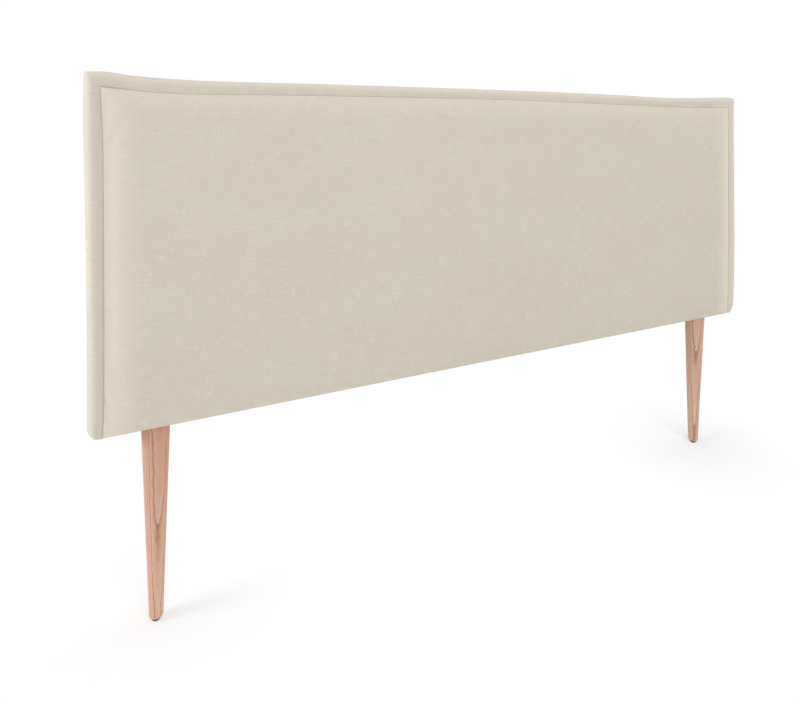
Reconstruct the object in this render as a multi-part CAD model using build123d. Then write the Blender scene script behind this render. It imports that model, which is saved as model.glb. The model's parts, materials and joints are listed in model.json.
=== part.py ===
from build123d import *
from math import cos, pi, sin, sqrt
import os

# An upholstered headboard that stands on two turned and tapered legs.
# Millimetres. +X runs along the width, -Y is the side that faces the bed and +Z is up.
# The origin is on the floor, under the middle of the panel.

# Overall sizes
panel_width = 1600.0
panel_height = 600.0
panel_depth = 80.0
leg_height = 360.0

# Cloth and the clearance that soft pieces keep
cloth = 1.2
dust_cloth = 0.4
soft_gap = 0.3

# Raised top corners of the outer edge, where the cover is pulled less tight
ear_up = 9.0
ear_out = 2.0
ear_flat = 24.0
ear_run = 130.0
ear_drop = 90.0
ear_corner = 5.0
lower_corner = 26.0

# Border band: a padded roll along the left, top and right edges
side_border = 27.0
top_border = 23.0
outer_roll = 12.0
crest_flat = 1.0
groove_depth = 9.5

# Centre cushion: its seam line, the roll of its edge, and its crown
seam_ear_up = 7.0
seam_ear_out = 3.5
seam_ear_flat = 8.0
seam_ear_run = 95.0
seam_ear_drop = 110.0
seam_corner = 3.0
seam_setback = 9.0
seam_allowance = 10.0
roll_reach = 22.0
crown_setback = 0.5
crown_rise = 2.5
crown_flat = 72.0
bottom_roll = 12.0
hem_width = 40.0

# Foam and the board behind it
cushion_foam = 17.5
edge_foam = 6.0
edge_foam_setback = 12.0
board = 3.0

# Timber frame
batten = 30.0
corner_block_leg = 62.0
corner_block_inset = 8.0
leg_block_length = 120.0
leg_block_height = 28.0
leg_block_gap = 8.2
upright_count = 2
tenon_shoulder = 6.0
tenon_thick = 18.0
tenon_length = 18.0
tenon_clearance = 0.1

# Wood screws that hold the leg blocks to the bottom rail
screw_length = 50.0
screw_radius = 2.25
screw_head_radius = 4.5
screw_cone = 3.0
screw_end_distance = 15.0
bore_clearance = 0.1

# Legs and the way they screw in
leg_inset = 106.0
leg_setback = 42.0
leg_top_radius = 24.3
leg_foot_radius = 11.8
leg_foot_bevel = 4.2
leg_foot_rise = 4.8
rod_radius = 4.0
rod_in_leg = 40.0
rod_past_nut = 1.0
rod_hole_clearance = 0.5
cloth_hole_radius = 6.0
nut_flange_radius = 9.5
nut_flange = 1.5
nut_barrel_radius = 5.0
nut_barrel = 11.0
prong_length = 7.0
prong_width = 3.0
prong_thick = 1.2
prong_count = 4

# Glides under the legs
glide_radius = 7.2
glide_height = 4.0
glide_bevel = 0.8
nail_radius = 1.2
nail_length = 20.0
nail_head_radius = 3.0
nail_head = 1.0
nail_recess = 1.3

# Dust cover on the back
dust_cover_inset = 12.0

# How the rolls and the crown are divided
roll_shares = (0.0, 0.25, 0.5, 0.75, 1.0)
crown_shares = (0.0, 0.25, 0.55, 1.0)
ear_fade_share = 0.9

overrun = 20.0

# Places worked out from the sizes above
half_width = panel_width / 2
panel_bottom = leg_height
panel_top = leg_height + panel_height
front = -panel_depth / 2
back = panel_depth / 2
hem_back = back - dust_cloth - soft_gap
frame_back = hem_back - cloth - soft_gap
foam_front = front + crown_setback + cloth + soft_gap
foam_back = foam_front + cushion_foam
board_front = foam_back + soft_gap
frame_front = board_front + board
frame_middle = (frame_front + frame_back) / 2
skin_gap = cloth + soft_gap
frame_half = half_width - skin_gap - edge_foam - soft_gap
frame_top = panel_top - skin_gap - edge_foam - soft_gap
frame_bottom = panel_bottom + skin_gap
seam_half = half_width - side_border
seam_top = panel_top - top_border
seam_front = front + seam_setback
allowance_end = seam_front + seam_allowance
roll_front = front + crown_setback + crown_rise
roll_rise = seam_front - roll_front
bottom_roll_middle = roll_front + bottom_roll
crown_bottom = panel_bottom + bottom_roll + soft_gap
crown_inset = roll_reach + soft_gap
crown_reach = (seam_top - crown_inset - crown_bottom - crown_flat) / 2
outer_roll_middle = front + outer_roll
groove_front = front + groove_depth
crest_inset = outer_roll + crest_flat
side_slope = side_border - soft_gap / 2 - crest_inset
top_slope = top_border - soft_gap / 2 - crest_inset
upright_top = frame_top - batten
upright_bottom = frame_bottom + batten
leg_axis_x = half_width - leg_inset
leg_axis_y = front + leg_setback
leg_top = leg_height - soft_gap
block_top = upright_bottom + leg_block_height
block_outer_end = frame_half - batten - leg_block_gap
block_inner_end = block_outer_end - leg_block_length


class Ear:
    """The raised end of an edge: how high and how far out it stands, and how it runs back."""

    def __init__(self, up, out, flat, run, drop):
        self.up = up
        self.out = out
        self.flat = flat
        self.run = run
        self.drop = drop

    def towards(self, other, share):
        """The ear this far on the way to another one."""
        mix = lambda a, b: a + (b - a) * share
        return Ear(
            mix(self.up, other.up),
            mix(self.out, other.out),
            mix(self.flat, other.flat),
            mix(self.run, other.run),
            mix(self.drop, other.drop),
        )


outer_ear = Ear(ear_up, ear_out, ear_flat, ear_run, ear_drop)
seam_ear = Ear(seam_ear_up, seam_ear_out, seam_ear_flat, seam_ear_run, seam_ear_drop)
flat_ear = Ear(
    seam_ear_up * (1 - ear_fade_share),
    seam_ear_out * (1 - ear_fade_share),
    seam_ear_flat,
    seam_ear_run,
    seam_ear_drop,
)


def outline(y, half, bottom, top, ear, corner, foot=0):
    """A closed wire at depth y: upright sides, ears at the top and, with foot, round lower corners."""
    edges = []
    here = Vector(foot - half, y, bottom)

    def line_to(x, z):
        nonlocal here
        end = Vector(x, y, z)
        edges.append(Edge.make_line(here, end))
        here = end

    def bend_to(x, z, heading):
        nonlocal here
        end = Vector(x, y, z)
        edges.append(Edge.make_tangent_arc(here, heading, end))
        here = end

    def drift_to(x, z, heading):
        """Two equal arcs that leave and arrive along the same heading."""
        middle = (here + Vector(x, y, z)) / 2
        bend_to(middle.X, middle.Z, heading)
        bend_to(x, z, edges[-1] % 1)

    far = half + ear.out
    high = top + ear.up
    line_to(half - foot, bottom)
    if foot:
        bend_to(half, bottom + foot, Vector(1, 0, 0))
    line_to(half, top - ear.drop)
    drift_to(far, high - corner, Vector(0, 0, 1))
    bend_to(far - corner, high, Vector(0, 0, 1))
    line_to(far - corner - ear.flat, high)
    drift_to(half - ear.flat - ear.run, top, Vector(-1, 0, 0))
    line_to(ear.flat + ear.run - half, top)
    drift_to(corner + ear.flat - far, high, Vector(-1, 0, 0))
    line_to(corner - far, high)
    bend_to(-far, high - corner, Vector(-1, 0, 0))
    drift_to(-half, top - ear.drop, Vector(0, 0, -1))
    line_to(-half, bottom + foot)
    if foot:
        bend_to(foot - half, bottom, Vector(0, 0, -1))
    return Wire(edges)


def prism(wire, y_end):
    """The solid that a flat outline sweeps on its way to depth y_end."""
    face = Face(wire)
    return Solid.extrude(face, Vector(0, y_end - wire.center().Y, 0))


def seam_outline(y, grow, bottom, ear=seam_ear):
    """The seam line between the cushion and the border, moved outwards by grow."""
    return outline(y, seam_half + grow, bottom, seam_top + grow, ear, seam_corner)


def outer_outline(y, inset):
    """The outer edge of the panel, drawn in by inset."""
    return outline(
        y,
        half_width - inset,
        panel_bottom + inset,
        panel_top - inset,
        outer_ear,
        ear_corner,
        lower_corner - inset,
    )


def cushion_body(skin):
    """The centre cushion, drawn in by a skin, from its crown to the hem on the back."""
    radius = bottom_roll - skin
    grow = -soft_gap / 2 - skin

    def lower_edge(y):
        ahead = bottom_roll_middle - y
        return panel_bottom + bottom_roll - sqrt(max(radius**2 - ahead**2, 0))

    shoulder = []
    for share in (0, 0.5, 1):
        y = bottom_roll_middle + (seam_front - bottom_roll_middle) * share
        shoulder.append(seam_outline(y, grow, lower_edge(y)))
    pillow = []
    for share in roll_shares:
        turn = share * pi / 2
        inset = (roll_reach - skin) * (1 - cos(turn))
        y = seam_front - (roll_rise - skin) * sin(turn)
        ear = seam_ear.towards(flat_ear, inset / roll_reach)
        pillow.append(seam_outline(y, grow - inset, lower_edge(y), ear))
    body = prism(shoulder[0], hem_back - skin)
    return body + Solid.make_loft(shoulder, True) + Solid.make_loft(pillow, True) + crown(skin)


def crown(skin):
    """The slight rise of the cushion's middle, as rectangles that shrink towards the bed."""
    rings = []
    for share in crown_shares:
        reach = crown_reach * share
        half = seam_half - crown_inset - reach
        low = crown_bottom + reach
        high = seam_top - crown_inset - reach
        y = roll_front + skin - crown_rise * (1 - (1 - share) ** 2)
        corners = [(-half, y, low), (half, y, low), (half, y, high), (-half, y, high)]
        rings.append(Wire.make_polygon(corners))
    return Solid.make_loft(rings, True)


def border_body(skin):
    """The border roll, drawn in by a skin, as a ring round the cushion that runs to the back."""
    roll = []
    for share in roll_shares:
        turn = share * pi / 2
        inset = skin + (outer_roll - skin) * (1 - cos(turn))
        roll.append(outer_outline(outer_roll_middle - (outer_roll - skin) * sin(turn), inset))
    body = prism(roll[0], hem_back - skin) + Solid.make_loft(roll, True)

    below = panel_bottom - overrun
    slope = []
    for share in roll_shares:
        turn = share * pi / 2
        ear = seam_ear.towards(outer_ear, 1 - cos(turn))
        y = groove_front - (groove_depth - skin) * sin(turn)
        side = soft_gap / 2 + skin + (side_slope - skin) * (1 - cos(turn))
        top = soft_gap / 2 + skin + (top_slope - skin) * (1 - cos(turn))
        slope.append(outline(y, seam_half + side, below, seam_top + top, ear, seam_corner))
    groove = Solid.make_loft(slope, True) + prism(slope[-1], front - overrun)
    groove += prism(slope[0], back + overrun)
    return body - groove


def trim_behind(grow):
    """The space behind the seam allowance, between the underside and the hem on the back."""
    wire = seam_outline(allowance_end, grow, panel_bottom + cloth)
    return prism(wire, hem_back - cloth)


def block(x_span, y_span, z_span):
    """A box between two places along each axis."""
    size = [high - low for low, high in (x_span, y_span, z_span)]
    place = [(high + low) / 2 for low, high in (x_span, y_span, z_span)]
    return Pos(*place) * Box(*size)


def rod(radius, low, high):
    """An upright cylinder between two heights."""
    return Pos(0, 0, (low + high) / 2) * Cylinder(radius, high - low)


def turned(points):
    """A solid of revolution about Z from its half profile, as pairs of radius and height."""
    corners = [(radius, 0, height) for radius, height in points]
    return revolve(make_face(Polyline(*corners, close=True)), Axis.Z)


def make_cover_centre():
    """The sewn centre panel, with its seam allowance, underside and hem on the back."""
    cover = cushion_body(0) - cushion_body(cloth) - trim_behind(overrun)
    whole = (-panel_width, panel_width)
    above_hem = (panel_bottom + hem_width, panel_top + overrun)
    cover -= block(whole, (hem_back - cloth - overrun, hem_back + overrun), above_hem)
    for side in (-1, 1):
        hole = rod(cloth_hole_radius, panel_bottom - overrun, panel_bottom + overrun)
        cover -= Pos(side * leg_axis_x, leg_axis_y, 0) * hole
    return cover


def make_cover_border():
    """The border strip, which runs up one side, over the top and down the other."""
    return border_body(0) - border_body(cloth) - trim_behind(soft_gap / 2 + cloth + soft_gap)


def make_cushion_foam():
    """The foam slab inside the centre panel."""
    behind = block(
        (-panel_width, panel_width), (foam_back, back + overrun), (0, panel_top + panel_height)
    )
    return cushion_body(skin_gap) - behind


def make_border_foams():
    """Foam strips inside the border: one up each side, and one along the top with its ears."""
    ring = border_body(skin_gap)
    reach_x = frame_half + soft_gap
    carcass = block(
        (-reach_x, reach_x),
        (foam_back, back + overrun),
        (panel_bottom - overrun, frame_top + soft_gap),
    )
    ring -= carcass
    ring -= block(
        (-panel_width, panel_width),
        (frame_back - edge_foam_setback, back + overrun),
        (0, panel_top + panel_height),
    )
    depth = (front - overrun, back + overrun)
    low = (panel_bottom - overrun, seam_top - soft_gap / 2)
    high = (seam_top + soft_gap / 2, panel_top + overrun)
    return {
        "foam_border_left": ring & block((-panel_width, 0), depth, low),
        "foam_border_right": ring & block((0, panel_width), depth, low),
        "foam_border_top": ring & block((-panel_width, panel_width), depth, high),
    }


def make_dust_cover():
    """The thin cloth stapled over the back."""
    return block(
        (dust_cover_inset - half_width, half_width - dust_cover_inset),
        (back - dust_cloth, back),
        (panel_bottom + dust_cover_inset, panel_top - dust_cover_inset),
    )


def screw(clearance=0):
    """A countersunk screw with a blunt end, head up at the origin; with a clearance, its hole."""
    head = screw_head_radius + clearance
    shank = screw_radius + clearance
    end = -screw_length - clearance
    return turned([(0, 0), (head, 0), (shank, -screw_cone), (shank, end), (0, end)])


def at_screw_places(piece):
    """A copy of a screw or bore at each place, pointing up through the bottom rail."""
    placed = []
    for side in (-1, 1):
        for x in (block_inner_end + screw_end_distance, block_outer_end - screw_end_distance):
            placed.append(Pos(side * x, frame_middle, frame_bottom) * Rot(180, 0, 0) * piece)
    return placed


def strut_places():
    """The middles of the inner uprights, which divide the frame evenly."""
    bay = 2 * (frame_half - batten / 2) / (upright_count + 1)
    return [bay * (n + 1) - (frame_half - batten / 2) for n in range(upright_count)]


def tee_nut(clearance=0):
    """A pronged nut, its flange seated at the origin and its barrel hanging down."""
    nut = rod(nut_barrel_radius + clearance, -nut_barrel - clearance, 0)
    nut += rod(nut_flange_radius + clearance, 0, nut_flange)
    arm = nut_flange_radius - prong_thick / 2
    for n in range(prong_count):
        prong = block(
            (arm - prong_thick / 2 - clearance, arm + prong_thick / 2 + clearance),
            (-prong_width / 2 - clearance, prong_width / 2 + clearance),
            (-prong_length - clearance, nut_flange / 2),
        )
        nut += Rot(0, 0, 360 / prong_count * n) * prong
    return nut


def make_leg_fixing(side):
    """The tee nut and the threaded rod that hold one leg."""
    axis = Pos(side * leg_axis_x, leg_axis_y, 0)
    bore = rod(rod_radius + bore_clearance, block_top - nut_barrel - overrun, block_top + overrun)
    nut = Pos(0, 0, block_top) * tee_nut() - bore
    stud = rod(rod_radius, leg_top - rod_in_leg, block_top + nut_flange + rod_past_nut)
    return axis * nut, axis * stud


def tenon_bar(span, clearance=0):
    """The bar inside an upright whose two ends are its tenons."""
    left, right = span
    half_thick = tenon_thick / 2 + clearance
    return block(
        (left + tenon_shoulder - clearance, right - tenon_shoulder + clearance),
        (frame_middle - half_thick, frame_middle + half_thick),
        (upright_bottom - tenon_length - clearance, upright_top + tenon_length + clearance),
    )


def make_frame():
    """The timber frame: tenoned uprights between two rails, bored for screws and the legs' rods."""
    depth = (frame_front, frame_back)
    full = (-frame_half, frame_half)
    inside = prism(outer_outline(front, skin_gap), back)
    pieces = {
        "top_rail": block(full, depth, (upright_top, frame_top)),
        "bottom_rail": block(full, depth, (frame_bottom, upright_bottom)) & inside,
    }
    spans = {
        "stile_left": (-frame_half, batten - frame_half),
        "stile_right": (frame_half - batten, frame_half),
    }
    for number, x in enumerate(strut_places(), 1):
        spans[f"strut_{number}"] = (x - batten / 2, x + batten / 2)
    for name, span in spans.items():
        pieces[name] = block(span, depth, (upright_bottom, upright_top)) + tenon_bar(span)
        for rail in ("top_rail", "bottom_rail"):
            pieces[rail] -= tenon_bar(span, tenon_clearance)
    for name, side in (("left", -1), ("right", 1)):
        pieces[f"leg_block_{name}"] = block(
            sorted((side * block_inner_end, side * block_outer_end)),
            depth,
            (upright_bottom, block_top),
        )
        pieces[f"corner_block_{name}"] = make_corner_block(side)
    bores = at_screw_places(screw(bore_clearance))
    for side in (-1, 1):
        axis = Pos(side * leg_axis_x, leg_axis_y, 0)
        hole = rod(rod_radius + rod_hole_clearance, frame_bottom - overrun, block_top + overrun)
        bores.append(axis * hole)
        bores.append(axis * Pos(0, 0, block_top) * tee_nut(bore_clearance))
    for name in pieces:
        for bore in bores:
            if touches(pieces[name], bore):
                pieces[name] -= bore
    return pieces


def touches(piece, bore):
    """Whether two boxes round the solids meet, so that a cut is worth making."""
    a = piece.bounding_box()
    b = bore.bounding_box()
    return all(
        low <= high
        for low, high in (
            (a.min.X, b.max.X),
            (b.min.X, a.max.X),
            (a.min.Y, b.max.Y),
            (b.min.Y, a.max.Y),
            (a.min.Z, b.max.Z),
            (b.min.Z, a.max.Z),
        )
    )


def make_corner_block(side):
    """A glued triangular block in an upper corner of the frame."""
    x = side * (frame_half - batten)
    corner = [
        (x, 0, upright_top),
        (x - side * corner_block_leg, 0, upright_top),
        (x, 0, upright_top - corner_block_leg),
    ]
    face = make_face(Polyline(*corner, close=True))
    depth = frame_back - frame_front - 2 * corner_block_inset
    made = Solid.extrude(face.face(), Vector(0, depth, 0))
    return Pos(0, frame_front + corner_block_inset, 0) * made


def make_front_board():
    """The thin board that closes the frame's front and carries the foam."""
    sheet = block((-frame_half, frame_half), (board_front, frame_front), (frame_bottom, frame_top))
    return sheet & prism(outer_outline(front, skin_gap), back)


def make_leg(side):
    """A turned leg: a straight taper with a bevelled foot, bored for the rod and the nail."""
    taper = (leg_top_radius - leg_foot_radius) / (leg_top - glide_height)
    profile = [
        (0, glide_height),
        (leg_foot_radius - leg_foot_bevel, glide_height),
        (leg_foot_radius + taper * leg_foot_rise, glide_height + leg_foot_rise),
        (leg_top_radius, leg_top),
        (0, leg_top),
    ]
    leg = turned(profile)
    leg -= rod(rod_radius + bore_clearance, leg_top - rod_in_leg - bore_clearance, leg_top + overrun)
    leg -= rod(nail_radius + bore_clearance, 0, nail_recess + nail_length + bore_clearance)
    return Pos(side * leg_axis_x, leg_axis_y, 0) * leg


def make_glide(side):
    """A disc that slides on the floor, with a recess for its nail's head."""
    disc = rod(glide_radius, 0, glide_height)
    disc = chamfer(disc.edges().filter_by(GeomType.CIRCLE).sort_by(Axis.Z)[0], glide_bevel)
    disc -= rod(nail_radius + bore_clearance, -overrun, glide_height + overrun)
    disc -= rod(nail_head_radius + bore_clearance, -overrun, nail_recess + nail_head)
    return Pos(side * leg_axis_x, leg_axis_y, 0) * disc


def make_nail(side):
    """The nail that holds a glide, with its head up inside the recess."""
    nail = rod(nail_head_radius, nail_recess, nail_recess + nail_head)
    nail += rod(nail_radius, nail_recess, nail_recess + nail_length)
    return Pos(side * leg_axis_x, leg_axis_y, 0) * nail


def main():
    os.makedirs("parts", exist_ok=True)
    pieces = make_frame()
    pieces["leg_block_screws"] = Compound(children=at_screw_places(screw()))
    pieces["front_board"] = make_front_board()
    pieces["foam_cushion"] = make_cushion_foam()
    pieces.update(make_border_foams())
    pieces["cover_centre"] = make_cover_centre()
    pieces["cover_border"] = make_cover_border()
    pieces["dust_cover"] = make_dust_cover()
    for name, side in (("left", -1), ("right", 1)):
        nut, stud = make_leg_fixing(side)
        pieces[f"tee_nut_{name}"] = nut
        pieces[f"leg_rod_{name}"] = stud
        pieces[f"leg_{name}"] = make_leg(side)
        pieces[f"glide_{name}"] = make_glide(side)
    pieces["glide_nails"] = Compound(children=[make_nail(-1), make_nail(1)])
    for name, piece in pieces.items():
        export_step(piece, f"parts/{name}.step")


main()
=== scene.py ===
import json
from math import cos, exp, hypot, pi, radians, sin, sqrt

import bmesh
import bpy
from bpy.props import FloatProperty, FloatVectorProperty, PointerProperty, StringProperty
from mathutils import Matrix, Vector, noise

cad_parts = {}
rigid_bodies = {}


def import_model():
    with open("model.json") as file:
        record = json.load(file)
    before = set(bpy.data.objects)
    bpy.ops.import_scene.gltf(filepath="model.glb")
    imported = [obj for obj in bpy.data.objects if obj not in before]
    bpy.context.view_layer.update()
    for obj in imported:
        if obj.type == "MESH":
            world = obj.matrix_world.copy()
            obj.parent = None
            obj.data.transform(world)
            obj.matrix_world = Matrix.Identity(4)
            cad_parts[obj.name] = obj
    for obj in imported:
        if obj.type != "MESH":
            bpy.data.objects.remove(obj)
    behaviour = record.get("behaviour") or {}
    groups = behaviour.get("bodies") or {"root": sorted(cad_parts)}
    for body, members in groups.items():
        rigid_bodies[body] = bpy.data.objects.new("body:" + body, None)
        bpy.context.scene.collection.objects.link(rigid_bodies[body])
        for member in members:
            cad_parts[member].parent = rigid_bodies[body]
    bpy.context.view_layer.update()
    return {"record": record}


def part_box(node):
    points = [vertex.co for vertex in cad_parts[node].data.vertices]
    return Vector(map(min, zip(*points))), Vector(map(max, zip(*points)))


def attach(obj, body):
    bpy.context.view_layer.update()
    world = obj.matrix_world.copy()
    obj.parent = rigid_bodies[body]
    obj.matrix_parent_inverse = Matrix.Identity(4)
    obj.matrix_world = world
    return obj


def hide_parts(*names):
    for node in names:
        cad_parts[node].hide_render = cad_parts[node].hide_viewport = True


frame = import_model()

bl_info = {
    "name": "Upholstered Headboard",
    "version": (1, 0, 0),
    "blender": (4, 5, 0),
    "location": "View3D > Sidebar > Headboard",
    "description": "Dresses the headboard's frame with its sewn cover, legs, back cloth and studio",
    "category": "Add Mesh",
}

# Lengths below are metres unless a name ends in mm; MM turns millimetres to metres.
MM = 0.001

dust_low, dust_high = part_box("dust_cover")
glide_low, glide_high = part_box("glide_right")

# Places that the part's own source also works out from its driving dimensions
dust_inset = 12 * MM
half_width = dust_high.x + dust_inset
panel_bottom = dust_low.z - dust_inset
panel_top = dust_high.z + dust_inset
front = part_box("cover_border")[0].y
hem_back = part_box("cover_centre")[1].y
foam_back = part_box("foam_cushion")[1].y
side_border = 27 * MM
top_border = 23 * MM
seam_half = half_width - side_border
seam_top = panel_top - top_border
foot_x = (glide_low.x + glide_high.x) / 2


# Shape of the edges

# How far the outer edge stands above the panel's nominal top, left to right
OUTER_TOP = (
    (-0.803, 8.4), (-0.772, 9.3), (-0.733, 4.4), (-0.686, 1.5), (-0.610, -0.6), (-0.360, 0.7),
    (0.070, 0.6), (0.340, -1.4), (0.550, -5.0), (0.660, -2.5), (0.775, 1.3), (0.800, 0.5),
)
# The same for the seam between the cushion and the border
SEAM_TOP = (
    (-0.777, 6.6), (-0.763, 5.4), (-0.733, 2.7), (-0.686, -1.1), (-0.620, -1.7), (-0.440, 0.6),
    (0.000, 2.3), (0.305, -1.5), (0.620, -5.8), (0.720, -4.3), (0.780, -2.0),
)
# How far each upright edge stands out from its nominal place, bottom to top
OUTER_LEFT = ((0.360, -0.6), (0.510, -1.0), (0.680, 0.0), (0.810, 1.7), (0.910, 3.0), (0.970, 1.4))
OUTER_RIGHT = ((0.360, 4.6), (0.480, 7.2), (0.650, 3.4), (0.760, -0.2), (0.870, -4.8), (0.970, -6.5))
SEAM_LEFT = ((0.360, 4.0), (0.384, 2.0), (0.430, 0.4), (0.820, 0.1), (0.880, 1.2), (0.945, 4.6))
SEAM_RIGHT = ((0.360, 2.5), (0.565, 1.6), (0.790, -3.4), (0.943, -6.6))


# Distances in millimetres at which the cover's mesh has its points: from a seam, and up from the bottom
NEAR_SEAM = (0, 0.25, 0.8, 1.8, 3.2, 5, 7.5, 10.5, 14, 18, 22, 27, 33)
NEAR_BOTTOM = (0, 0.4, 1.2, 2.4, 4, 6, 8.5, 11.5, 15, 19, 24)


def line_through(points, x):
    """The smooth line through a few (place, millimetres) points, in metres."""
    count = len(points)

    def slope(n):
        """The line's slope at its n-th point."""
        before, after = points[max(n - 1, 0)], points[min(n + 1, count - 1)]
        return (after[1] - before[1]) / (after[0] - before[0])

    if x <= points[0][0]:
        return points[0][1] * MM
    if x >= points[-1][0]:
        return points[-1][1] * MM
    for n in range(count - 1):
        (x0, z0), (x1, z1) = points[n], points[n + 1]
        if x <= x1:
            width = x1 - x0
            t = (x - x0) / width
            start, end = slope(n) * width, slope(n + 1) * width
            bend = z0 + t * start + t * t * (3 * (z1 - z0) - 2 * start - end)
            return (bend + t ** 3 * (start + end - 2 * (z1 - z0))) * MM


def outer_side(z, side):
    """How far from the middle the outer edge runs, at a height."""
    return half_width + line_through(OUTER_RIGHT if side > 0 else OUTER_LEFT, z)


def seam_side(z, side):
    """How far from the middle the seam runs, at a height."""
    return seam_half + line_through(SEAM_RIGHT if side > 0 else SEAM_LEFT, z)


def outer_top(x):
    """How high the outer edge runs, at a place across."""
    return panel_top + line_through(OUTER_TOP, x)


def seam_line_top(x):
    """How high the seam runs, at a place across."""
    return seam_top + line_through(SEAM_TOP, x)


def corner_inset(rise, radius):
    """How far a rounded corner stands in from its edge, at a rise from its end."""
    return radius - sqrt(max(radius ** 2 - (radius - rise) ** 2, 0)) if rise < radius else 0


def steps(start, end, count):
    """Evenly spaced values from start to just before end."""
    return [start + (end - start) * n / count for n in range(count)]


def rough(x, y, z=0.0):
    """Smooth noise between about -1 and 1."""
    return noise.noise((x, y, z))


def new_object(name, mesh):
    """Puts a mesh in the scene at the origin."""
    made = bpy.data.objects.new(name, mesh)
    bpy.context.scene.collection.objects.link(made)
    return made


def finished_mesh(name, bm, material):
    """Turns a bmesh into a smooth-shaded object of one material."""
    mesh = bpy.data.meshes.new(name)
    bm.to_mesh(mesh)
    bm.free()
    mesh.polygons.foreach_set("use_smooth", [True] * len(mesh.polygons))
    mesh.materials.append(material)
    return new_object(name, mesh)


def skin_rings(bm, grid):
    """Joins closed rings of vertices with faces, caps both ends and turns the faces outwards."""
    for before, after in zip(grid, grid[1:]):
        for n, vert in enumerate(before):
            m = (n + 1) % len(before)
            bm.faces.new((vert, before[m], after[m], after[n]))
    bm.faces.new(grid[0])
    bm.faces.new(reversed(grid[-1]))
    bmesh.ops.recalc_face_normals(bm, faces=bm.faces)


def loft(name, rings, cloth_places, painted_tones, material):
    """A closed piece through closed rings of points, capped at both ends.

    Each point also has a place on the cloth and a tone of painted light: above 0 a painted highlight where
    an edge turns towards the lamps, below 0 painted shade where the cloth sinks towards a seam."""
    bm = bmesh.new()
    uv_layer = bm.loops.layers.uv.new("cloth")
    # The tone layer holds painted light: painted highlights above 0, painted shade below 0.
    painted_tone_layer = bm.verts.layers.float.new("tone")
    grid = [[bm.verts.new(point) for point in ring] for ring in rings]
    places = {}
    for ring, spots in zip(grid, cloth_places):
        for vert, spot in zip(ring, spots):
            places[vert] = spot
    for ring, shades in zip(grid, painted_tones):
        for vert, shade in zip(ring, shades):
            vert[painted_tone_layer] = shade
    skin_rings(bm, grid)
    for face in bm.faces:
        for corner in face.loops:
            corner[uv_layer].uv = places[corner.vert]
    return finished_mesh(name, bm, material)


# Border


def border_profile(sizes):
    """The border's closed section as (share from outer edge to seam, depth) pairs.

    It rolls up from the outer edge to a crest, sinks to the seam, and closes round the back."""
    roll = sizes.outer_roll
    crest_share = 0.56
    crest_flat = 0.03
    bands = 8
    section = []
    for n in range(bands + 1):
        turn = n / bands * pi / 2
        section.append((crest_share * (1 - cos(turn)), front + roll * (1 - sin(turn))))
    steepest = radians(34)
    for n in range(1, bands + 3):
        turn = n / (bands + 2) * steepest
        share = crest_share + crest_flat + (1 - crest_flat - crest_share) * sin(turn) / sin(steepest)
        section.append((share, front + sizes.groove_depth * (1 - cos(turn)) / (1 - cos(steepest))))
    # The allowance behind the seam, then the inside of the border, then its hem flat on the back
    seam_depth = front + sizes.groove_depth
    section += [(1.0, seam_depth + 3 * MM), (1.0, seam_depth + 8 * MM)]
    section += [(0.97, 0.0), (0.94, hem_back - 4 * MM), (0.9, hem_back)]
    section += [(share, hem_back) for share in (0.65, 0.4, 0.2)]
    back_roll, back_roll_share, turns = 3 * MM, 0.11, 3
    for n in range(turns + 1):
        turn = n / turns * pi / 2
        section.append((back_roll_share * (1 - sin(turn)), hem_back - back_roll * (1 - cos(turn))))
    section += [(0.0, y) for y in steps(hem_back - back_roll, front + roll, 9)[1:]]
    return section


def border_stations(sizes):
    """Where the border's sections stand: outer point, seam point, run along the edge, side, and how
    much squarer the corner is behind the front, where the frame fills it."""
    stations = []
    corner, narrowest = 4 * MM, 3 * MM
    rows, columns, turns = 88, 250, 6

    def side_stations(side, heights, run):
        """Sections up one side."""
        radius = sizes.lower_corner_left if side < 0 else sizes.lower_corner_right
        end = outer_top(side * half_width) - corner
        seam_end = seam_line_top(side * seam_half) - corner / 2
        found = []
        for z in heights:
            rise = z - panel_bottom
            seam_z = panel_bottom + rise * (seam_end - panel_bottom) / (end - panel_bottom)
            inner = seam_side(seam_z, side)
            out = max(outer_side(z, side) - corner_inset(rise, radius), inner + narrowest)
            squarest = outer_side(z, side) - corner_inset(rise, sizes.frame_corner)
            square = max(squarest - out, 0)
            found.append(((side * out, z), (side * inner, seam_z), run + rise, side, square))
        return found

    def corner_stations(side, run):
        """Sections round one upper corner."""
        x = side * outer_side(panel_top, side)
        z = outer_top(side * half_width)
        seam_x = side * seam_side(seam_top, side)
        seam_z = seam_line_top(side * seam_half)
        found = []
        for n in range(turns + 1):
            turn = n / turns * pi / 2
            outer = (x - side * corner * (1 - sin(pi / 2 - turn)), z - corner * (1 - sin(turn)))
            inner = (
                seam_x - side * corner / 2 * (1 - sin(pi / 2 - turn)),
                seam_z - corner / 2 * (1 - sin(turn)),
            )
            found.append((outer, inner, run + corner * turn, side, 0))
        return found

    def side_heights(side):
        """Heights up one side, closer together at the rolled lower end."""
        low = [panel_bottom + rise * MM for rise in NEAR_BOTTOM]
        return low + steps(panel_bottom + 30 * MM, outer_top(side * half_width) - corner, rows)

    stations += side_stations(-1, side_heights(-1), 0)
    stations += corner_stations(-1, stations[-1][2])
    run = stations[-1][2]
    start = stations[-1][0][0]
    last = outer_side(panel_top, 1) - corner
    seam_start = stations[-1][1][0]
    seam_last = seam_side(seam_top, 1) - corner / 2
    for x in steps(start, last, columns)[1:]:
        share = (x - start) / (last - start)
        seam_x = seam_start + (seam_last - seam_start) * share
        stations.append(((x, outer_top(x)), (seam_x, seam_line_top(seam_x)), run + x - start, 0, 0))
    run = stations[-1][2]
    return stations + corner_stations(1, run)[::-1] + side_stations(1, side_heights(1), run)[::-1]


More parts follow.
